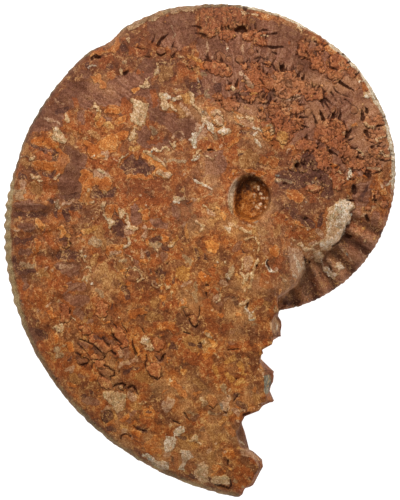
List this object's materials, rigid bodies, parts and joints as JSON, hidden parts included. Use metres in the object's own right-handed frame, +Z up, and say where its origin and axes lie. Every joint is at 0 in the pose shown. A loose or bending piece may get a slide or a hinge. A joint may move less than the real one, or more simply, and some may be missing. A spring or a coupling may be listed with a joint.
{
  "type": "fossil ammonite",
  "caption": "Flat, tightly coiled fossil ammonite, rusty brown stone with a small umbilicus, faint ribs and a broken end; lies on its side.",
  "frame": {"origin": "under the middle of the fossil's box, on the surface that it lies on", "axes": "+Z up through the upper flank, along the coil axis; +Y from the broken end towards the far side of the coil; +X towards the inner whorl's exposed flank"},
  "size_m": [0.087, 0.1096, 0.028],
  "materials": {
    "rusty_fossil_stone": "dull weathered limestone and calcite, mauve-brown with rusty orange and cream patches"
  },
  "bodies": {
    "root": {"ammonite": "rusty_fossil_stone"}
  },
  "joints": []
}
